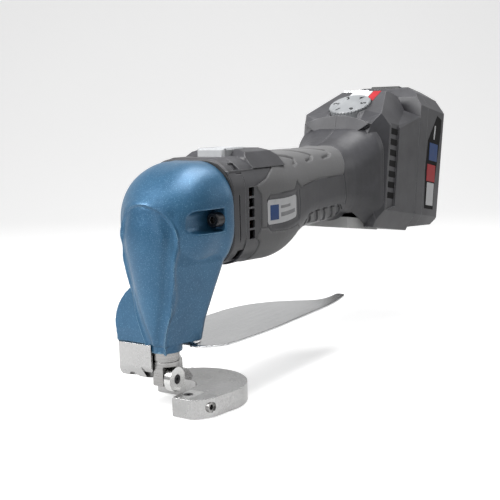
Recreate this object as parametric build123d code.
from build123d import *
import os
from math import acos, cos, pi, radians, sin, sqrt, tan

# Cordless sheet-metal shear. All sizes in millimetres.
# Frame: +X is the cutting direction, +Y the operator's left, +Z up.
# Origin: on the ram axis, at the flat underside of the cutting table.

# ---------------------------------------------------------------- driving dimensions
MOTOR_Z = 118.0          # height of the motor axis over the table underside
GEAR_MODULE = 0.6
PINION_TEETH = 12
GEAR_TEETH = 58
ECC_Z = MOTOR_Z - GEAR_MODULE * (PINION_TEETH + GEAR_TEETH) / 2
STROKE = 5.0             # ram travel, top to bottom
THROW = STROKE / 2
CRANK_Z = ECC_Z + THROW  # crank pin at top dead centre, the rest pose
PIN_Z = 71.0             # wrist pin at rest
RAM_R = 8.3
BORE_GAP = 0.03          # radial running clearance
BLADE_Y = 8.0            # shear plane
BLADE_GAP = 0.1
TABLE_T = 11.5
BLADE_R = 7.4
BLADE_T = 5.0
BLADE_Z = 21.0
HEAD_W = 66.0            # gear head and motor housing, across flats
HEAD_BACK = -28.0
COLLAR_BACK = -42.0
SKIN = 1.4               # overmould thickness
SKIN_GAP = 0.05          # between overmould and housing
WALL = 2.6               # housing wall under the skin
FOOT_TILT = 9.0          # the foot and battery lean back
FOOT_X = -222.0          # front lower corner of the foot
FOOT_Z = 88.0
FOOT_W = 76.0
FOOT_L = 66.0            # front face to battery seam, along the tilt
FOOT_H = 113.0
PACK_L = 50.0
PACK_H = 122.0
PLATE_Z = 38.5           # hand guard plate, underside
PLATE_T = 1.5
GUARD_SCREW_R = 1.5
M5_R = 2.5
BALL_COUNT = 8

os.makedirs("parts", exist_ok=True)


# ---------------------------------------------------------------- helpers
def save(node, shape):
    """Write one sub-part; its file name is its node name."""
    if isinstance(shape, (list, ShapeList)):
        shape = Compound(children=[s for s in shape])
    shape.label = node
    export_step(shape, f"parts/{node}.step")


def at_x(x, y=0.0, z=0.0):
    """A plane facing +X whose local x is world Y and local y is world Z."""
    return Plane(origin=(x, y, z), x_dir=(0, 1, 0), z_dir=(1, 0, 0))


def rod_x(x0, x1, r, y=0.0, z=0.0):
    return extrude(at_x(x0, y, z) * Circle(r), x1 - x0)


def ring_x(x0, x1, r_out, r_in, y=0.0, z=0.0):
    return rod_x(x0, x1, r_out, y, z) - rod_x(x0 - 1, x1 + 1, r_in, y, z)


def rod_z(z0, z1, r, x=0.0, y=0.0):
    return extrude(Plane.XY.offset(z0) * Pos(x, y) * Circle(r), z1 - z0)


def rod_y(y0, y1, r, x=0.0, z=0.0):
    plane = Plane(origin=(x, y0, z), x_dir=(1, 0, 0), z_dir=(0, 1, 0))
    return extrude(plane * Circle(r), y1 - y0)


def block(x0, x1, y0, y1, z0, z1):
    size = (x1 - x0, y1 - y0, z1 - z0)
    return Pos((x0 + x1) / 2, (y0 + y1) / 2, (z0 + z1) / 2) * Box(*size)


def square_x(x0, x1, w, h, r, z=MOTOR_Z, y=0.0):
    return extrude(at_x(x0, y, z) * RectangleRounded(w, h, r), x1 - x0)


def profile_xz(points, y0, y1):
    """Extrude an outline drawn in X and Z from y0 to y1."""
    face = make_face(Polyline(*[(x, 0, z) for x, z in points], close=True))
    return Pos(0, y0, 0) * extrude(face, y1 - y0, dir=(0, 1, 0))


def soften(solid, edges, radius):
    """Round the edges if the radius fits them, otherwise leave them sharp."""
    try:
        return fillet(edges, radius)
    except (ValueError, RuntimeError):
        return solid


def solids_of(shape):
    return shape.solids() if hasattr(shape, "solids") else [shape]


def tilt(u, y, v):
    """A point of the foot: u up along its lean, v back from its front corner."""
    a = radians(FOOT_TILT)
    return (FOOT_X - v * cos(a) - u * sin(a), y, FOOT_Z + u * cos(a) - v * sin(a))


def foot_place():
    """Places a solid drawn with X pointing back, Y left and Z up the lean."""
    origin = tilt(0, 0, 0)
    back = Vector(*tilt(0, 0, 1)) - Vector(*origin)
    up = Vector(*tilt(1, 0, 0)) - Vector(*origin)
    return Plane(origin=origin, x_dir=back, z_dir=up).location


# In the tilted frame +X points back, so its +Y is the tool's right.
FOOT = foot_place()


# ---------------------------------------------------------------- gears
def gear_outline(teeth, start_deg, thin=0.05, angle=25.0):
    """Closed involute outline with a tooth centred on start_deg."""
    rp = GEAR_MODULE * teeth / 2
    rb = rp * cos(radians(angle))
    tip = rp + 0.9 * GEAR_MODULE
    root = rp - 1.15 * GEAR_MODULE
    half = pi / 2 / teeth - thin / 2 / rp
    involute = tan(radians(angle)) - radians(angle)
    low = max(rb, root)
    flank = []
    steps = 4
    for i in range(steps + 1):
        r = low + (tip - low) * i / steps
        turn = acos(min(1.0, rb / r))
        flank.append((r, half + involute - (tan(turn) - turn)))
    if root < rb:
        flank.insert(0, (root, flank[0][1]))
    points = []
    for k in range(teeth):
        mid = radians(start_deg) + 2 * pi * k / teeth
        for r, a in flank:
            points.append((r * cos(mid - a), r * sin(mid - a)))
        for r, a in reversed(flank):
            points.append((r * cos(mid + a), r * sin(mid + a)))
    return points


def gear_solid(teeth, x0, x1, z, start_deg):
    outline = Polyline(*gear_outline(teeth, start_deg), close=True)
    return extrude(at_x(x0, 0, z) * make_face(outline), x1 - x0)


# ---------------------------------------------------------------- bearings
def bearing(x0, width, r_in, r_out, z):
    """Inner ring, outer ring and balls of a deep-groove ball bearing."""
    mid = (r_in + r_out) / 2
    ball = (r_out - r_in) * 0.27
    track = Pos(x0 + width / 2, 0, z) * Rot(0, 90, 0) * Torus(mid, ball + 0.03)
    step = (r_out - r_in) * 0.3
    inner = ring_x(x0, x0 + width, r_in + step, r_in, 0, z) - track
    outer = ring_x(x0, x0 + width, r_out, r_out - step, 0, z) - track
    balls = []
    for k in range(BALL_COUNT):
        a = 2 * pi * k / BALL_COUNT
        spot = Pos(x0 + width / 2, mid * cos(a), z + mid * sin(a))
        balls.append(spot * Sphere(ball))
    return inner, outer, balls


# ---------------------------------------------------------------- screws
def socket_screw(plane, head_r, head_h, shank_r, shank_l):
    """Cap screw: the plane's origin is under the head, its normal leaves the part."""
    head = extrude(plane * Circle(head_r), head_h)
    rim = head.faces().sort_by(Axis(plane.origin, plane.z_dir))[-1].edges()
    head = chamfer(rim, head_h * 0.08)
    hexagon = Plane(
        origin=plane.origin + plane.z_dir * head_h * 0.45, x_dir=plane.x_dir, z_dir=plane.z_dir
    ) * RegularPolygon(head_r * 0.55, 6)
    shank = extrude(plane * Circle(shank_r), -shank_l)
    return head + shank - extrude(hexagon, head_h)


def countersunk(plane, head_r, shank_r, length):
    """Flat-head screw flush with the plane, whose normal leaves the part."""
    depth = head_r - shank_r
    head = loft([plane * Circle(head_r), plane.offset(-depth) * Circle(shank_r)])
    shank = extrude(plane.offset(-depth) * Circle(shank_r), -(length - depth))
    hexagon = plane.offset(-depth * 0.9) * RegularPolygon(shank_r * 0.7, 6)
    return head + shank - extrude(hexagon, depth * 2)


# ---------------------------------------------------------------- gear head
def head_barrel():
    """Rounded-square barrel around the motor axis whose front closes as a dome."""
    # X, width, top, bottom, corner radius
    stations = [
        (HEAD_BACK, 66.0, 149.8, 84.5, 26.0),
        (-18.0, 65.6, 149.4, 84.6, 26.0),
        (-8.0, 63.0, 147.4, 85.5, 26.0),
        (1.0, 57.5, 143.5, 88.0, 24.5),
        (9.0, 46.5, 137.6, 92.0, 21.5),
        (15.0, 34.0, 131.6, 95.0, 16.5),
        (18.8, 21.0, 127.2, 103.0, 10.3),
        (20.4, 8.0, 124.0, 112.0, 3.9),
    ]
    sections = []
    for x, width, top, bottom, radius in stations:
        shape = RectangleRounded(width, top - bottom, radius)
        sections.append(at_x(x, 0, (top + bottom) / 2) * shape)
    return loft(sections)


BUSH_R = 9.3
PETAL_ARCH_R = 20.6
PETAL_ARCH_Z = 107.0
# height, back X, half width at the back, X and half width of the front ridge, front X
LEG_LEVELS = [
    (42.5, -20.0, 16.5, 8.0, 8.0, 10.8),
    (55.0, -21.0, 18.5, 9.5, 11.0, 13.8),
    (73.0, -24.0, 24.0, 11.0, 14.0, 17.0),
    (91.0, -26.5, 30.0, 11.5, 18.0, 19.5),
    (112.0, -28.0, 32.0, 11.5, 20.0, 20.5),
    (130.0, -28.0, 32.0, 11.5, 20.0, 20.0),
]


def head_leg():
    sections = []
    for z, back, back_half, ridge, ridge_half, front in LEG_LEVELS:
        slope = (back_half - ridge_half) / (ridge - back)
        nose_x = front + 3.0
        nose_half = ridge_half - slope * (nose_x - ridge)
        outline = Polyline(
            (back, -back_half, z), (nose_x, -nose_half, z), (nose_x, nose_half, z), (back, back_half, z),
            close=True,
        )
        face = make_face(outline)
        rear = face.vertices().sort_by(Axis.X)[:2]
        sections.append(fillet(rear, 5.0))
    leg = loft(sections, ruled=True)
    # the front petal ends in a round arch
    arch = rod_x(-60.0, 60.0, PETAL_ARCH_R, 0, PETAL_ARCH_Z)
    keep = block(-60.0, -4.0, -60, 60, 0, 160) + block(-60, 60, -60, 60, 0, PETAL_ARCH_Z) + arch
    return leg & keep


def head_lobe():
    """The cheek on the right that carries the steel neck."""
    side = Spline((0, -31.0, 50.0), (0, -29.5, 62.0), (0, -23.5, 71.5), (0, -12.0, 80.0))
    rest = Polyline((0, -12.0, 80.0), (0, 0, 84.0), (0, 0, 42.5), (0, -31.0, 42.5), (0, -31.0, 50.0))
    lobe = Pos(-20.0, 0, 0) * extrude(make_face(side + rest), 29.0, dir=(1, 0, 0))
    front = lobe.faces().sort_by(Axis.X)[-1]
    return soften(lobe, front.edges().filter_by(GeomType.BSPLINE), 5.0)


def petal_keep():
    """The space behind the convex front petal, whose ridges run down to the ram."""
    sections = []
    for z, _, _, ridge, ridge_half, front in LEG_LEVELS:
        sag = front - ridge
        radius = (ridge_half**2 + sag**2) / 2 / sag
        sections.append(Plane.XY.offset(z) * Pos(front - radius, 0) * Circle(radius))
    low = Pos(0, 0, -12.5) * sections[0]
    high = Pos(0, 0, 50.0) * sections[-1]
    keep = loft([low] + sections) + loft([sections[-1], high])
    behind = [(LEG_LEVELS[0][3], 30.0)] + [(level[3], level[0]) for level in LEG_LEVELS]
    behind += [(LEG_LEVELS[-1][3], 170.0), (-60.0, 170.0), (-60.0, 30.0)]
    return keep + profile_xz(behind, -50.0, 50.0)


def screw_scoop(y, z):
    """Recess beside the head screw, round at the front and square at the back."""
    side = 1 if y > 0 else -1
    scoop = square_x(-19.0, 8.0, 13.4, 13.4, 4.5, z, side * 30.6)
    return scoop + Pos(8.0, side * 30.6, z) * Sphere(6.7)


CORNER_SCREWS = [(y, MOTOR_Z + z) for y in (-22.5, 22.5) for z in (-22.5, 22.5)]
SIDE_SCREWS = [(28.3, MOTOR_Z - 2.0), (-28.3, MOTOR_Z - 2.0)]
TABLE_SCREWS = [(2.0, -21.0), (-13.0, -21.0)]
GUARD_SCREWS = [(-16.3, -5.5), (-16.3, 7.5)]


def gear_head():
    body = (head_barrel() + head_leg() + head_lobe()) & petal_keep()
    body += rod_z(38.0, 60.0, 10.2)
    # bearing plate pocket, gear and crank chambers, bearing seat and ram bore
    body -= square_x(HEAD_BACK - 1, -20.0, 45.2, 52.2, 14.0, 110.0)
    body -= rod_x(-21.0, -8.0, 19.0, 0, ECC_Z)
    body -= rod_x(-21.0, -5.0, 8.0, 0, MOTOR_Z)
    body -= block(-9.0, 7.5, -14.0, 14.0, 82.0, 113.0)
    body -= rod_z(61.0, 83.0, 9.8)
    body -= rod_x(7.0, 14.0, 9.5, 0, ECC_Z)
    body -= rod_z(46.0, 62.0, BUSH_R)
    body -= rod_z(30.0, 47.0, RAM_R + 0.2)
    body -= rod_z(38.0, 41.0, 9.2)
    for y, z in SIDE_SCREWS:
        body -= screw_scoop(y, z)
        body -= rod_x(-30.0, -18.0, 2.7, y, z)
    for y, z in CORNER_SCREWS:
        body -= rod_x(-30.0, -19.0, 2.4, y, z)
    # threaded seats for the neck and the guard plate
    for x, y in TABLE_SCREWS:
        body -= rod_z(40.0, 58.0, M5_R, x, y)
    for x, y in GUARD_SCREWS:
        body -= rod_z(40.0, 50.0, GUARD_SCREW_R, x, y)
    return body


def head_screws():
    """Two side screws that pull the head onto the motor housing."""
    group = []
    for y, z in SIDE_SCREWS:
        plane = Plane(origin=(-19.0, y, z), x_dir=(0, 1, 0), z_dir=(1, 0, 0))
        group.append(socket_screw(plane, 4.3, 6.5, 2.6, 18.0))
    return group


def corner_screws():
    """Four housing screws whose heads sit in the collar's corner pockets."""
    group = []
    for y, z in CORNER_SCREWS:
        plane = Plane(origin=(-36.0, y, z), x_dir=(0, 1, 0), z_dir=(-1, 0, 0))
        group.append(socket_screw(plane, 3.9, 5.0, 2.4, 17.0))
    return group


def front_collar():
    collar = square_x(COLLAR_BACK, HEAD_BACK - 0.8, HEAD_W - 1.5, HEAD_W - 1.5, 19.0)
    rim = collar.faces().sort_by(Axis.X)[-1].edges()
    collar = chamfer(rim, 0.8)
    collar -= square_x(COLLAR_BACK - 1, -39.0, 58.0, 58.0, 15.0)
    collar -= square_x(COLLAR_BACK - 1, HEAD_BACK, 50.2, 50.2, 13.0)
    # open corner pockets for the screw heads
    for y, z in CORNER_SCREWS:
        out_y = 1 if y > 0 else -1
        out_z = 1 if z > MOTOR_Z else -1
        pocket = Box(6.0, 9.2, 16.0)
        tip = Pos(-39.0, y, z) * Rot(45 * -out_y * out_z, 0, 0)
        collar -= tip * Pos(0, 0, 8.0 * out_z) * pocket
        collar -= rod_x(COLLAR_BACK, -36.0, 4.6, y, z)
        collar -= rod_x(-37.0, HEAD_BACK, 2.5, y, z)
    # slots in the cheeks and holes for the side screws
    for side in (-1, 1):
        y0, y1 = sorted((side * 31.2, side * 34.0))
        collar -= block(-36.2, -34.8, y0, y1, MOTOR_Z - 17, MOTOR_Z + 11)
        collar -= rod_x(COLLAR_BACK - 1, HEAD_BACK, 2.7, side * 28.3, MOTOR_Z - 2.0)
    return collar


def head_gasket():
    ring = square_x(HEAD_BACK - 0.8, HEAD_BACK, 63.0, 63.0, 19.0)
    ring -= square_x(HEAD_BACK - 2, HEAD_BACK + 1, 45.2, 52.2, 14.0, 110.0)
    ring -= block(HEAD_BACK - 2, HEAD_BACK + 1, -16.0, 16.0, 80.0, 92.0)
    for y, z in CORNER_SCREWS:
        ring -= rod_x(-30.0, -27.0, 2.6, y, z)
    for y, z in SIDE_SCREWS:
        ring -= rod_x(-30.0, -27.0, 2.8, y, z)
    return ring


def bearing_plate():
    """Carries the rotor's front bearing and the eccentric's rear bearing."""
    plate = square_x(-39.0, -28.8, 50.0, 50.0, 13.0)
    plate += square_x(-28.8, -20.2, 45.0, 52.0, 14.0, 110.0)
    plate -= rod_x(-40.0, -30.0, 11.0, 0, MOTOR_Z)
    plate -= rod_x(-41.0, -19.0, 5.2, 0, MOTOR_Z)
    plate -= rod_x(-27.0, -19.0, 11.0, 0, ECC_Z)
    for y, z in CORNER_SCREWS:
        plate -= rod_x(-41.0, -36.0, 4.7, y, z)
        plate -= rod_x(-37.0, -19.0, 2.6, y, z)
    return plate


# ---------------------------------------------------------------- drive
def motor_bearings():
    front = bearing(-37.0, 7.0, 4.0, 11.0, MOTOR_Z)
    rear = bearing(-122.0, 7.0, 4.0, 11.0, MOTOR_Z)
    return front, rear


def eccentric_bearings():
    rear = bearing(-27.0, 6.0, 5.0, 11.0, ECC_Z)
    front = bearing(8.0, 6.0, 4.0, 9.5, ECC_Z)
    return rear, front


def rotor_shaft():
    shaft = rod_x(-125.0, -29.0, 4.0, 0, MOTOR_Z)
    shaft += rod_x(-29.0, -18.5, 3.4, 0, MOTOR_Z)
    return shaft + gear_solid(PINION_TEETH, -19.0, -9.0, MOTOR_Z, -90.0)


def rotor_core():
    return ring_x(-104.0, -74.0, 9.5, 4.0, 0, MOTOR_Z)


def rotor_magnets():
    ring = ring_x(-104.0, -74.0, 12.0, 9.5, 0, MOTOR_Z)
    gaps = [Pos(0, 0, MOTOR_Z) * Rot(45 + 90 * k, 0, 0) * Pos(-89, 11, 0) * Box(40, 6, 0.8) for k in range(4)]
    for gap in gaps:
        ring -= gap
    return solids_of(ring)


def stator_core():
    core = ring_x(-104.0, -74.0, 25.0, 21.5, 0, MOTOR_Z)
    for k in range(6):
        tooth = Pos(-89, 0, MOTOR_Z) * Rot(60 * k, 0, 0) * Pos(0, 0, 17.5) * Box(30, 5.0, 10.0)
        core += tooth & ring_x(-104.0, -74.0, 22.5, 12.6, 0, MOTOR_Z)
        shoe = Pos(-89, 0, MOTOR_Z) * Rot(60 * k, 0, 0) * Pos(0, 0, 13.5) * Box(30, 10.0, 5.0)
        core += shoe & ring_x(-104.0, -74.0, 14.0, 12.6, 0, MOTOR_Z)
    return core


def stator_windings():
    group = []
    for k in range(6):
        coil = Box(40, 9.0, 5.6) - Box(30.2, 5.2, 7.0)
        placed = Pos(-89, 0, MOTOR_Z) * Rot(60 * k, 0, 0) * Pos(0, 0, 17.9) * coil
        group.append(placed)
    return group


def cooling_fan():
    hub = ring_x(-60.0, -48.0, 8.0, 4.0, 0, MOTOR_Z)
    fan = hub + ring_x(-50.0, -48.5, 25.0, 7.0, 0, MOTOR_Z)
    for k in range(11):
        blade = Pos(-54.0, 0, MOTOR_Z) * Rot(360 / 11 * k, 0, 0) * Pos(0, 0, 16.0) * Rot(0, 0, 22) * Box(9.0, 1.4, 17.5)
        fan += blade & rod_x(-59.5, -48.5, 24.8, 0, MOTOR_Z)
    return fan


def eccentric_shaft():
    shaft = rod_x(-26.9, -8.5, 5.0, 0, ECC_Z)
    shaft += rod_x(-8.5, -4.5, 8.0, 0, ECC_Z)
    shaft += rod_x(-4.5, 4.5, 5.0, 0, CRANK_Z)
    shaft += rod_x(4.5, 8.0, 5.6, 0, ECC_Z)
    shaft += rod_x(8.0, 13.8, 4.0, 0, ECC_Z)
    keyway = block(-18.5, -10.5, -1.5, 1.5, ECC_Z - 6.5, ECC_Z - 3.2)
    return shaft - keyway


def drive_gear():
    gear = gear_solid(GEAR_TEETH, -18.5, -10.0, ECC_Z, 90.0 + 180.0 / GEAR_TEETH)
    gear -= rod_x(-19.0, -9.0, 5.0, 0, ECC_Z)
    gear -= block(-18.6, -10.4, -1.5, 1.5, ECC_Z - 6.6, ECC_Z)
    for k in range(6):
        a = radians(60 * k + 30)
        gear -= rod_x(-19.0, -9.0, 2.6, 11.2 * cos(a), ECC_Z + 11.2 * sin(a))
    return gear


def gear_key():
    return block(-18.5, -10.5, -1.5, 1.5, ECC_Z - 6.5, ECC_Z - 3.2)


def conrod():
    big_r = 5.0 + 2.0
    rod = rod_x(-3.4, 3.4, 10.2, 0, CRANK_Z)
    rod += rod_x(-3.4, 3.4, 5.2, 0, PIN_Z)
    rod += block(-3.0, 3.0, -3.6, 3.6, PIN_Z, CRANK_Z)
    rod -= rod_x(-5, 5, big_r, 0, CRANK_Z)
    return rod - rod_x(-5, 5, 2.5, 0, PIN_Z)


def conrod_needles():
    group = []
    for k in range(16):
        a = 2 * pi * k / 16
        group.append(rod_x(-3.3, 3.3, 0.97, 6.0 * cos(a), CRANK_Z + 6.0 * sin(a)))
    return group


def wrist_pin():
    return rod_x(-6.6, 6.6, 2.5, 0, PIN_Z)


def ram():
    body = rod_z(17.5, 82.0, RAM_R)
    # fork slot for the connecting rod and the oblong cross hole for its pin
    body -= block(-3.8, 3.8, -10, 10, PIN_Z - 11.0, 90)
    for side in (-1, 1):
        x0, x1 = sorted((side * 3.7, side * 9.0))
        body -= rod_x(x0, x1, 5.1, 0, PIN_Z - THROW)
        body -= rod_x(x0, x1, 5.1, 0, PIN_Z + THROW)
        body -= block(x0, x1, -5.1, 5.1, PIN_Z - THROW, PIN_Z + THROW)
    # milled front and back flats, and the seat for the blade
    body -= block(7.4, 12, -12, 12, 0, 32.0)
    body -= block(-12, -7.4, -12, 12, 0, 32.0)
    body -= block(-12, 12, BLADE_Y - BLADE_T, 12, 0, 29.5)
    body -= ring_x_groove(32.6)
    body -= rod_y(-12, 12, 2.0, 0, BLADE_Z)
    return body


def ring_x_groove(z):
    return rod_z(z - 0.4, z + 0.4, RAM_R + 2) - rod_z(z - 1, z + 1, RAM_R - 0.5)


def upper_blade():
    blade = rod_y(BLADE_Y - BLADE_T, BLADE_Y, BLADE_R, 0, BLADE_Z)
    face = blade.faces().sort_by(Axis.Y)
    blade = chamfer(face[0].edges(), 0.5)
    plane = Plane(origin=(0, BLADE_Y, BLADE_Z), x_dir=(1, 0, 0), z_dir=(0, 1, 0))
    sink = loft([plane * Circle(3.0), plane.offset(-1.0) * Circle(2.0)])
    return blade - sink - rod_y(0, 10, 2.0, 0, BLADE_Z)


def upper_blade_screw():
    plane = Plane(origin=(0, BLADE_Y, BLADE_Z), x_dir=(1, 0, 0), z_dir=(0, 1, 0))
    return countersunk(plane, 3.0, 2.0, 14.0)


def guide_bush():
    return rod_z(46.0, 61.0, BUSH_R) - rod_z(40, 70, RAM_R + BORE_GAP)


def ram_seal():
    return rod_z(38.0, 41.0, 9.2) - rod_z(30, 50, RAM_R + BORE_GAP)


# ---------------------------------------------------------------- table and blades
TABLE_X = -27.0
TABLE_Y = 2.0
TABLE_R = 32.0


BLADE_BOX = (-12.0, 4.0, BLADE_Y + BLADE_GAP, 19.0)   # low and high X, low and high Y
BLADE_HOLE = (-3.5, 13.2)
RIM_SCREW = (-3.4, 6.2)    # X and Z


def cutting_table():
    disc = rod_z(0, TABLE_T, TABLE_R, TABLE_X, TABLE_Y)
    outline = [(6.0, 7.6), (6.0, 24.0), (-5.0, 31.0), (-27.0, 34.0), (-27.0, -4.4), (-12.0, 7.6)]
    corner = make_face(Polyline(*outline, close=True))
    rounded = [v for v in corner.vertices() if v.Y > 20.0 and v.X > -10.0]
    corner = fillet(rounded, 8.0)
    table = disc + extrude(corner, TABLE_T)
    # open throat for the ram, the upper blade and the cut edge of the sheet
    table -= block(-16.0, 20.0, -4.4, BLADE_Y + BLADE_GAP, -1, TABLE_T + 1)
    table -= block(-28.0, 20.0, -40.0, -4.4, -1, TABLE_T + 1)
    table -= rod_z(-1, TABLE_T + 1, 12.0, -16.0, -4.4)
    # neck: front block under the cheek, and the arm down to the table
    neck = profile_xz(
        [(10.0, 42.4), (10.0, 28.0), (4.5, 20.5), (-10.0, 16.5), (-31.0, 12.0), (-31.0, 24.0), (-21.5, 36.0),
         (-21.5, 42.4)],
        -31.0, -11.5,
    )
    neck = fillet(neck.edges().filter_by(Axis.Z).sort_by(Axis.Y)[:1], 5.0)
    neck += profile_xz([(10.0, 42.4), (10.0, 28.5), (7.0, 25.0), (-9.5, 25.0), (-9.5, 42.4)], -13.0, -3.5)
    neck += profile_xz([(-14.0, 18.0), (-24.0, 14.0), (-33.0, 8.0), (-33.0, 0.0), (-52.0, 0.0), (-52.0, TABLE_T),
                        (-37.0, TABLE_T), (-31.0, 18.0)], -20.0, -8.0)
    neck -= rod_z(10, 37.0, RAM_R + 0.8)
    neck -= rod_z(36.5, 60, 10.3)
    table += neck
    x0, x1, y0, y1 = BLADE_BOX
    table -= block(x0, x1, y0 - 2, y1, TABLE_T - 5.0, TABLE_T + 1)
    table -= rod_z(-1, TABLE_T, 2.0, *BLADE_HOLE)
    table -= rod_y(y1 - 1, 40.0, 3.2, *RIM_SCREW)
    for x, y in TABLE_SCREWS:
        table -= rod_z(10.0, 50.0, M5_R + 0.1, x, y)
        table -= rod_z(-1.0, 30.5, 4.6, x, y)
    return table


def lower_blade():
    x0, x1, y0, y1 = BLADE_BOX
    blade = block(x0, x1, y0, y1, TABLE_T - 5.0, TABLE_T)
    blade -= rod_z(-1, TABLE_T + 1, 2.0, *BLADE_HOLE)
    top = Plane(origin=(*BLADE_HOLE, TABLE_T), z_dir=(0, 0, 1))
    return blade - loft([top * Circle(3.0), top.offset(-1.0) * Circle(2.0)])


def lower_blade_screw():
    top = Plane(origin=(*BLADE_HOLE, TABLE_T), z_dir=(0, 0, 1))
    return countersunk(top, 3.0, 2.0, 11.0)


def adjusting_screw():
    """Set screw in the rim that pushes the lower blade up to the shear plane."""
    x, z = RIM_SCREW
    screw = rod_y(BLADE_BOX[3], 30.0, 3.2, x, z)
    hexagon = Plane(origin=(x, 27.0, z), x_dir=(1, 0, 0), z_dir=(0, 1, 0)) * RegularPolygon(1.9, 6)
    return screw - extrude(hexagon, 4)


def table_screws():
    group = []
    for x, y in TABLE_SCREWS:
        plane = Plane(origin=(x, y, 30.5), x_dir=(1, 0, 0), z_dir=(0, 0, -1))
        group.append(socket_screw(plane, 4.3, 5.0, M5_R, 26.0))
    return group


# ---------------------------------------------------------------- guard plate
def guard_plate():
    outline = (
        Polyline((-10.5, 12.0), (-10.5, 10.0), (-12.8, 8.0), (-12.8, -10.6), (-22.0, -10.6), (-22.0, -31.0),
                 (-92.0, -31.0))
        + Spline((-92.0, -31.0), (-126.0, -24.0), (-150.0, -3.0), (-160.0, 13.0), (-178.0, 20.5),
                 tangents=[(-1, 0), (-1, 0.1)])
        + Spline((-178.0, 20.5), (-181.5, 25.0), (-177.0, 29.0), tangents=[(-1, 0.1), (1, 0.1)])
        + Spline((-177.0, 29.0), (-163.0, 30.0), tangents=[(1, 0.1), (1, 0)])
        + Polyline((-163.0, 30.0), (-30.0, 30.0))
        + Spline((-30.0, 30.0), (-16.0, 24.0), (-10.5, 12.0), tangents=[(1, 0), (0, -1)])
    )
    plate = extrude(Plane.XY.offset(PLATE_Z) * make_face(outline), PLATE_T)
    # pad that meets the underside of the head
    plate += block(-19.8, -13.0, -10.4, 11.5, PLATE_Z + PLATE_T, LEG_LEVELS[0][0])
    for x, y in GUARD_SCREWS:
        under = Plane(origin=(x, y, PLATE_Z), x_dir=(1, 0, 0), z_dir=(0, 0, -1))
        plate -= rod_z(30.0, 50.0, GUARD_SCREW_R, x, y)
        plate -= loft([under * Circle(GUARD_SCREW_R + 1.3), under.offset(-1.3) * Circle(GUARD_SCREW_R)])
    return plate


def guard_screws():
    group = []
    for x, y in GUARD_SCREWS:
        under = Plane(origin=(x, y, PLATE_Z), x_dir=(1, 0, 0), z_dir=(0, 0, -1))
        group.append(countersunk(under, GUARD_SCREW_R + 1.3, GUARD_SCREW_R, 10.0))
    return group


# ---------------------------------------------------------------- housing
# X, height of the centre, width, height, corner radius of the housing's outside
STATIONS = [
    (COLLAR_BACK, 117.5, 64.5, 66.0, 19.0),
    (-62.0, 117.5, 64.5, 66.5, 19.0),
    (-88.0, 116.8, 64.0, 68.5, 20.0),
    (-104.0, 117.5, 61.0, 67.0, 21.0),
    (-122.0, 120.5, 56.0, 61.0, 21.0),
    (-140.0, 123.0, 53.0, 56.0, 21.0),
    (-184.0, 123.5, 52.0, 55.0, 21.0),
    (-203.0, 124.0, 58.0, 61.0, 23.0),
    (-220.0, 126.0, 68.0, 72.0, 24.0),
    (-234.0, 128.0, 71.0, 76.0, 24.0),
]
SWITCH_TOP = 153.8
RAIL_DEPTH = 9.0      # how far the battery's rail block reaches into the foot


def handle_body(inset):
    sections = []
    for x, z, width, height, radius in STATIONS:
        shape = RectangleRounded(width - 2 * inset, height - 2 * inset, radius - inset)
        sections.append(at_x(x, 0, z) * shape)
    return loft(sections, ruled=True)


def foot_body(inset):
    """Faceted battery foot: side, end and plan outlines multiplied together."""
    i = inset
    half = FOOT_W / 2 - i
    side = [(2 + i, i), (FOOT_L, i), (FOOT_L, FOOT_H - 4 - i), (44, FOOT_H - i), (34, FOOT_H - 1.5 - i),
            (-1 + i, 88 - i), (-6 + i, 84 - i), (-10 + i, 70), (0 + i, 60), (-2 + i, 12)]
    side_solid = profile_xz(side, -50, 50)
    end = [(-half, 14), (-half + 7, i), (half - 7, i), (half, 14), (half, 80), (half - 19, FOOT_H - i),
           (-half + 19, FOOT_H - i), (-half, 80)]
    end_face = make_face(Polyline(*[(0, y, z) for y, z in end], close=True))
    end_solid = Pos(-20, 0, 0) * extrude(end_face, 120, dir=(1, 0, 0))
    plan = [(-12 + i, -half + 13), (6 + i, -half), (FOOT_L, -half), (FOOT_L, half), (6 + i, half),
            (-12 + i, half - 13)]
    plan_solid = Pos(0, 0, -5) * extrude(make_face(Polyline(*plan, close=True)), 130)
    return FOOT * (side_solid & end_solid & plan_solid)


def switch_ridge():
    """Raised switch housing on top, faceted at the back and the sides."""
    side = [(-28.8, 140.0), (-28.8, 148.6), (-36.0, 150.5), (-43.0, SWITCH_TOP), (-78.0, SWITCH_TOP),
            (-91.0, 150.2), (-97.0, 146.0), (-97.0, 140.0)]
    body = profile_xz(side, -30, 30)
    end = [(0, -29, 143), (0, -28, 146.5), (0, -14, SWITCH_TOP), (0, 14, SWITCH_TOP), (0, 28, 146.5), (0, 29, 143)]
    across = Pos(-120, 0, 0) * extrude(make_face(Polyline(*end, close=True)), 100, dir=(1, 0, 0))
    return body & across


def skin_region(gap):
    """Where the soft overmould lies: the top, a band at the front, and the lower swell."""
    g = gap
    upper = [(-64.0 + g, 170.0), (-64.0 + g, 92.0), (-70.5 - g, 92.0), (-70.5 - g, 124.0 - g),
             (-76.0 - g, 131.0 - g), (-186.0 - g, 131.0 - g), (-186.0 - g, 170.0)]
    lower = [(-64.0 + g, 70.0), (-64.0 + g, 92.1), (-69.0, 98.0 + g), (-112.0, 98.0 + g), (-126.0 - g, 86.0),
             (-126.0 - g, 70.0)]
    heel = [(-136.0 + g, 80.0), (-136.0 + g, 97.0), (-146.0, 107.0 + g), (-182.0, 107.0 + g), (-190.0 - g, 100.0),
            (-190.0 - g, 80.0)]
    return profile_xz(upper, -40, 40) + profile_xz(lower, -40, 40) + profile_xz(heel, -40, 40)


def grip_overmould():
    layer = (handle_body(0) & skin_region(0)) - handle_body(SKIN)
    layer -= switch_ridge()
    return layer - ([switch_slot(), filter_space()] + head_pockets())


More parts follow.
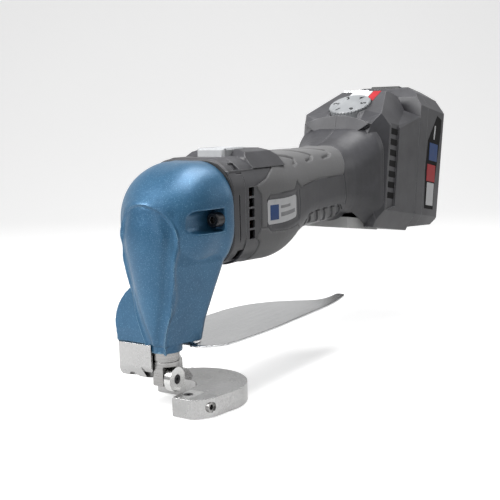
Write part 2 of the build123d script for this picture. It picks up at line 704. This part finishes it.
def switch_slot():
    return block(-67.5, -51.0, -3.4, 3.4, 140.0, 160.0)


FILTER_FRONT = -196.0
FILTER_REAR = -250.0
FILTER_OUTLINE = [(FILTER_FRONT, 98.5), (FILTER_FRONT, 90.0), (FILTER_REAR, 82.2), (FILTER_REAR, 90.5)]
FILTER_HALF = 23.0


def filter_space():
    return profile_xz(FILTER_OUTLINE, -FILTER_HALF, FILTER_HALF)


def dust_filter():
    """Removable intake filter: a shallow ribbed tray under the foot's front."""
    gap = 0.15
    front = FILTER_FRONT - gap
    rear = FILTER_REAR + gap
    tray = profile_xz([(front, 98.3), (front, 90.0), (rear, 82.2), (rear, 90.3)], -FILTER_HALF + gap, FILTER_HALF - gap)
    tray = soften(tray, tray.edges().filter_by(Axis.Y).group_by(Axis.Z)[0], 2.0)
    tray -= profile_xz([(front - 3, 110.0), (front - 3, 92.2), (rear + 3, 85.2), (rear + 3, 110.0)], -20.5, 20.5)
    for k in range(9):
        x = FILTER_FRONT - 7.0 - 5.2 * k
        tray -= block(x - 1.3, x + 1.3, -18.0, 18.0, 80.0, 110.0)
    return tray


# position of the vent strip on the foot's sides, in the tilted frame
VENT_BACK = 21.0
VENT_ROWS = 7


def side_vents():
    """Slots and their shallow recess on both sides of the foot."""
    cuts = []
    half = FOOT_W / 2
    for side in (-1, 1):
        y0, y1 = sorted((side * (half - 1.4), side * (half + 2)))
        recess = profile_xz([(9, 14), (25, 18), (25, 86), (13, 90), (9, 80)], y0, y1)
        cuts.append(FOOT * recess)
        for k in range(VENT_ROWS):
            y0, y1 = sorted((side * (half - 6), side * (half + 2)))
            z = 26.0 + 8.4 * k
            cuts.append(FOOT * block(VENT_BACK - 3.6, VENT_BACK + 3.0, y0, y1, z - 1.9, z + 1.9))
    return cuts


def motor_vents():
    """Exhaust louvres behind the collar, on both sides."""
    cuts = []
    for side in (-1, 1):
        for k in range(5):
            y0, y1 = sorted((side * 26.0, side * 36.0))
            z = 103.5 + 6.6 * k
            cuts.append(block(-52.0, -45.5, y0, y1, z - 2.4, z + 2.4))
    return cuts


DIAL_R = 17.0


def dial_plane():
    """On the foot's sloped top face, its normal along the dial's axis."""
    low = Vector(*tilt(88.0, 0, -1.0))
    high = Vector(*tilt(111.5, 0, 34.0))
    along = (high - low).normalized()
    normal = Vector(-along.Z, 0, along.X) * -1
    centre = low + along * 14.5
    return Plane(origin=centre, x_dir=Vector(0, 1, 0), z_dir=normal)


def dial_hood():
    """Lens-shaped lip that rises in front of the dial."""
    arc_top = ThreePointArc((-28.0, 79.0), (0, 91.5), (28.0, 79.0))
    arc_low = ThreePointArc((28.0, 79.0), (0, 69.0), (-28.0, 79.0))
    face = Plane.YZ * make_face(arc_top + arc_low)
    hood = Pos(-12.0, 0, 0) * extrude(face, 12.0, dir=(1, 0, 0))
    return FOOT * hood


def rail_recess():
    return FOOT * block(FOOT_L - RAIL_DEPTH, FOOT_L + 5, -27.0, 27.0, 8.0, FOOT_H + 10)


def housing():
    solid = handle_body(0) + foot_body(0) + dial_hood()
    inner = handle_body(SKIN + 2.0) + foot_body(WALL)
    inner -= FOOT * block(FOOT_L - RAIL_DEPTH - 3.0, FOOT_L + 20, -60, 60, -20, 140)
    # ribs inside carry the stator and the rotor's rear bearing
    ribs = rod_x(-92.0, -86.0, 45, 0, MOTOR_Z) - rod_x(-93.0, -85.0, 25.0, 0, MOTOR_Z)
    ribs += rod_x(-121.0, -116.0, 45, 0, MOTOR_Z) - rod_x(-123.0, -115.0, 11.0, 0, MOTOR_Z)
    ribs -= [block(-145.0, -60.0, -5.0, 5.0, 143.0, 160.0), block(-145.0, -60.0, -10.0, 10.0, 80.0, 98.5)]
    inner -= ribs
    skin = (handle_body(-2.0) & skin_region(SKIN_GAP)) - handle_body(SKIN + SKIN_GAP)
    dial = dial_plane()
    wells = [
        extrude(dial * Circle(DIAL_R + 0.4), 20),
        extrude(dial * Circle(DIAL_R + 0.4), -5.0),
        extrude(dial * Circle(3.2), -12),
        FOOT * block(47.0, 60.0, -20.0, 20.0, 14.0, 46.0),
        status_window(),
        switch_slot(),
        filter_space(),
        rail_recess(),
    ]
    return solid - ([inner, skin] + wells + side_vents() + motor_vents())


def status_window():
    return FOOT * block(37.0, 42.0, -3.0, 20.0, FOOT_H - 6, FOOT_H + 6)


def status_light():
    bar = FOOT * block(37.1, 41.9, -2.9, 19.9, FOOT_H - 6, FOOT_H + 0.6)
    return bar


def shell_halves():
    whole = housing()
    inside = handle_body(SKIN + SKIN_GAP + 0.2) + foot_body(1.0)
    whole += [rod_y(-60, 60, BOSS_R, x, z) & inside for x, z in SHELL_SCREWS]
    whole -= [rod_y(-60, 12, SHELL_SCREW_R, x, z) for x, z in SHELL_SCREWS]
    whole -= head_pockets()
    left = whole & block(-400, 0, 0, 80, 0, 300)
    right = whole & block(-400, 0, -80, 0, 0, 300)
    return left, right


# X and Z of the five screws that hold the two housing halves together
SHELL_SCREWS = [(-128.0, 134.0), (-152.0, 104.5), (-186.0, 136.0), (-186.0, 104.0), (-262.0, 88.0)]
SHELL_SCREW_R = 1.6
BOSS_R = 4.8
HEAD_SEAT_Y = -17.0


def head_pockets():
    return [rod_y(-60, HEAD_SEAT_Y, 3.5, x, z) for x, z in SHELL_SCREWS]


def shell_screws():
    """Screws put in from the right; each head sits on its boss inside a counterbore."""
    group = []
    for x, z in SHELL_SCREWS:
        plane = Plane(origin=(x, HEAD_SEAT_Y, z), x_dir=(1, 0, 0), z_dir=(0, -1, 0))
        group.append(socket_screw(plane, 3.2, 2.6, SHELL_SCREW_R, 28.0))
    return group


def switch_cover():
    cuts = [
        square_x(COLLAR_BACK, HEAD_BACK, HEAD_W - 1.5, HEAD_W - 1.5, 19.0),
        handle_body(0),
        block(-75.0, -43.5, -11.6, 11.6, 151.6, 170),
        block(-68.0, -50.5, -6.0, 6.0, 140, 170),
    ]
    return switch_ridge() - cuts


def switch_slider():
    """Thumb slider with a dished top; its stem reaches the rod inside."""
    body = block(-74.5, -52.0, -11.2, 11.2, 151.8, 155.4)
    body = soften(body, body.edges().filter_by(Axis.Z), 3.0)
    body = soften(body, body.faces().sort_by(Axis.Z)[-1].edges(), 1.0)
    body -= Pos(-63.2, 0, 172.8) * Rot(90, 0, 0) * Cylinder(19.0, 17.0)
    return body + block(-66.0, -60.0, -2.8, 2.8, 146.0, 152.5)


def switch_rod():
    rod = block(-146.0, -60.0, -4.0, 4.0, 144.0, 146.0)
    return rod + block(-150.0, -146.0, -2.0, 2.0, 141.0, 146.0)


def switch_module():
    return block(-172.0, -150.5, -8.0, 8.0, 126.0, 146.0)


def speed_dial():
    plane = dial_plane()
    dial = extrude(plane * Circle(DIAL_R), -4.6) + extrude(plane * Circle(DIAL_R), 2.6)
    top = dial.faces().sort_by(Axis(plane.origin, plane.z_dir))[-1]
    dial = chamfer(top.edges(), 0.8)
    knurl = []
    for k in range(36):
        a = 2 * pi * k / 36
        knurl.append(extrude(plane * Pos(DIAL_R * cos(a), DIAL_R * sin(a)) * Circle(0.5), 3.0))
    dial -= knurl
    return dial + extrude(plane.offset(-4.6) * Circle(3.0), -6.0)


def dial_potentiometer():
    plane = dial_plane().offset(-12.6)
    pot = extrude(plane * Circle(8.0), -7.0) - extrude(plane * Circle(3.1), -3.0)
    return pot


def electronics_module():
    tray = FOOT * block(10.0, 28.0, -27.0, 27.0, 18.0, 74.0)
    for k in range(6):
        tray -= FOOT * block(8.0, 14.0, -24.0 + 8 * k, -20.0 + 8 * k, 20.0, 72.0)
    return tray


def terminal_block():
    body = FOOT * block(47.0, FOOT_L - RAIL_DEPTH, -20.0, 20.0, 14.0, 46.0)
    for y in (-12.0, 0.0, 12.0):
        body -= FOOT * block(53.0, 60.0, y - 0.4, y + 0.4, 30.0, 36.0)
    return body


def terminal_blades():
    group = []
    for y in (-12.0, 0.0, 12.0):
        blade = block(53.0, 61.0, y - 0.4, y + 0.4, 30.0, 36.0)
        blade += block(59.0, 61.0, y - 0.4, y + 0.4, 30.0, 56.0)
        group.append(FOOT * blade)
    return group


def wire(points, radius):
    path = Spline(*points)
    start = Plane(origin=path @ 0, z_dir=path % 0)
    return sweep(start * Circle(radius), path=path)


def motor_leads():
    group = []
    for y in (-6.0, 0.0, 6.0):
        group.append(wire([(-110.5, y, 95.8), (-118.5, y, 95.5), (-132.0, y, 101.0), (-150.0, y, 112.0),
                           (-186.0, y, 117.0), (-214.0, y, 120.0), (-232.0, y, 124.0)], 1.3))
    return group


# ---------------------------------------------------------------- battery pack
def pack_body(inset):
    i = inset
    half = FOOT_W / 2 - i
    side = [(FOOT_L + 0.3 + i, 3 + i), (FOOT_L + PACK_L - 5, 7 + i), (FOOT_L + PACK_L - i, 12 + i),
            (FOOT_L + PACK_L + 3 - i, 107 - i), (FOOT_L + PACK_L - 2 - i, PACK_H - 5 - i), (FOOT_L + 38, PACK_H - i),
            (FOOT_L + 10, PACK_H - i), (FOOT_L + 0.3 + i, 112 - i)]
    side_solid = profile_xz(side, -50, 50)
    end = [(-half, 14), (-half + 6, 2 + i), (half - 6, 2 + i), (half, 14), (half, 105), (half - 7, 116 - i),
           (half - 17, PACK_H - i), (-half + 17, PACK_H - i), (-half + 7, 116 - i), (-half, 105)]
    end_face = make_face(Polyline(*[(0, y, z) for y, z in end], close=True))
    return side_solid & (Pos(FOOT_L - 5, 0, 0) * extrude(end_face, 80, dir=(1, 0, 0)))


PACK_SPLIT = FOOT_L + 16.0
CELL_R = 9.15


def rail_block():
    rails = block(FOOT_L - RAIL_DEPTH + 0.3, FOOT_L + 0.3, -26.6, 26.6, 10.0, 96.0)
    rails -= block(FOOT_L - RAIL_DEPTH - 1, FOOT_L - 3.0, -16.0, 16.0, 5.0, 62.0)
    return rails


def pack_cells():
    group = []
    for column in range(2):
        for row in range(5):
            x = FOOT_L + 17.0 + 18.9 * column
            z = 21.0 + 18.6 * row
            group.append(FOOT * rod_y(-32.5, 32.5, CELL_R, x, z))
    return group


def button_space():
    return block(FOOT_L + 9.0, FOOT_L + 27.0, -13.2, 13.2, PACK_H - 8.4, PACK_H + 5)


def pack_shells():
    body = pack_body(0) - pack_body(2.6)
    floor = block(FOOT_L + 7.0, FOOT_L + 29.0, -15.2, 15.2, PACK_H - 10.4, PACK_H) & pack_body(0)
    body += floor
    body -= button_space()
    body += rail_block()
    cut = block(FOOT_L - 20, PACK_SPLIT, -60, 60, -10, 130)
    return FOOT * (body & cut), FOOT * (body - cut)


def release_button():
    button = block(FOOT_L + 9.2, FOOT_L + 26.8, -13.0, 13.0, PACK_H - 4.0, PACK_H + 1.2)
    button = soften(button, button.faces().sort_by(Axis.Z)[-1].edges(), 0.8)
    for k in range(5):
        x = FOOT_L + 12.0 + 3.0 * k
        button -= block(x - 0.5, x + 0.5, -10.0, 10.0, PACK_H + 0.6, PACK_H + 2)
    return FOOT * button


def release_springs():
    group = []
    for y in (-7.0, 7.0):
        coil = Helix(pitch=1.0, height=3.2, radius=2.6)
        start = Plane(origin=coil @ 0, z_dir=coil % 0)
        spring = sweep(start * Circle(0.3), path=coil)
        group.append(FOOT * (Pos(FOOT_L + 18.0, y, PACK_H - 7.9) * spring))
    return group


def pack_board():
    return FOOT * block(FOOT_L + 3.2, FOOT_L + 4.8, -28.0, 28.0, 22.0, 88.0)


def pack_contacts():
    group = []
    for y in (-12.0, 0.0, 12.0):
        clip = block(FOOT_L - 8.0, FOOT_L - 3.0, y - 2.0, y + 2.0, 46.0, 60.0)
        clip -= block(FOOT_L - 9.0, FOOT_L - 4.0, y - 0.6, y + 0.6, 44.0, 62.0)
        group.append(FOOT * clip)
    return group


def build_all():
    front, rear = motor_bearings()
    ecc_rear, ecc_front = eccentric_bearings()
    left, right = shell_halves()
    pack_front, pack_rear = pack_shells()
    nodes = {
        "gear_head": gear_head(),
        "head_screws": head_screws(),
        "corner_screws": corner_screws(),
        "front_collar": front_collar(),
        "head_gasket": head_gasket(),
        "bearing_plate": bearing_plate(),
        "rotor_shaft": rotor_shaft(),
        "rotor_core": rotor_core(),
        "rotor_magnets": rotor_magnets(),
        "stator_core": stator_core(),
        "stator_windings": stator_windings(),
        "cooling_fan": cooling_fan(),
        "motor_inner_rings": [front[0], rear[0]],
        "motor_outer_rings": [front[1], rear[1]],
        "motor_balls": front[2] + rear[2],
        "eccentric_shaft": eccentric_shaft(),
        "drive_gear": drive_gear(),
        "gear_key": gear_key(),
        "eccentric_inner_rings": [ecc_rear[0], ecc_front[0]],
        "eccentric_outer_rings": [ecc_rear[1], ecc_front[1]],
        "eccentric_balls": ecc_rear[2] + ecc_front[2],
        "conrod": conrod(),
        "conrod_needles": conrod_needles(),
        "wrist_pin": wrist_pin(),
        "ram": ram(),
        "upper_blade": upper_blade(),
        "upper_blade_screw": upper_blade_screw(),
        "guide_bush": guide_bush(),
        "ram_seal": ram_seal(),
        "cutting_table": cutting_table(),
        "lower_blade": lower_blade(),
        "lower_blade_screw": lower_blade_screw(),
        "adjusting_screw": adjusting_screw(),
        "table_screws": table_screws(),
        "guard_plate": guard_plate(),
        "guard_screws": guard_screws(),
        "shell_left": left,
        "shell_right": right,
        "shell_screws": shell_screws(),
        "grip_overmould": grip_overmould(),
        "switch_cover": switch_cover(),
        "switch_slider": switch_slider(),
        "switch_rod": switch_rod(),
        "switch_module": switch_module(),
        "speed_dial": speed_dial(),
        "dial_potentiometer": dial_potentiometer(),
        "electronics_module": electronics_module(),
        "terminal_block": terminal_block(),
        "terminal_blades": terminal_blades(),
        "motor_leads": motor_leads(),
        "status_light": status_light(),
        "dust_filter": dust_filter(),
        "battery_lid": pack_front,
        "battery_case": pack_rear,
        "battery_cells": pack_cells(),
        "battery_board": pack_board(),
        "battery_contacts": pack_contacts(),
        "release_button": release_button(),
        "release_springs": release_springs(),
    }
    for node, shape in nodes.items():
        save(node, shape)


build_all()
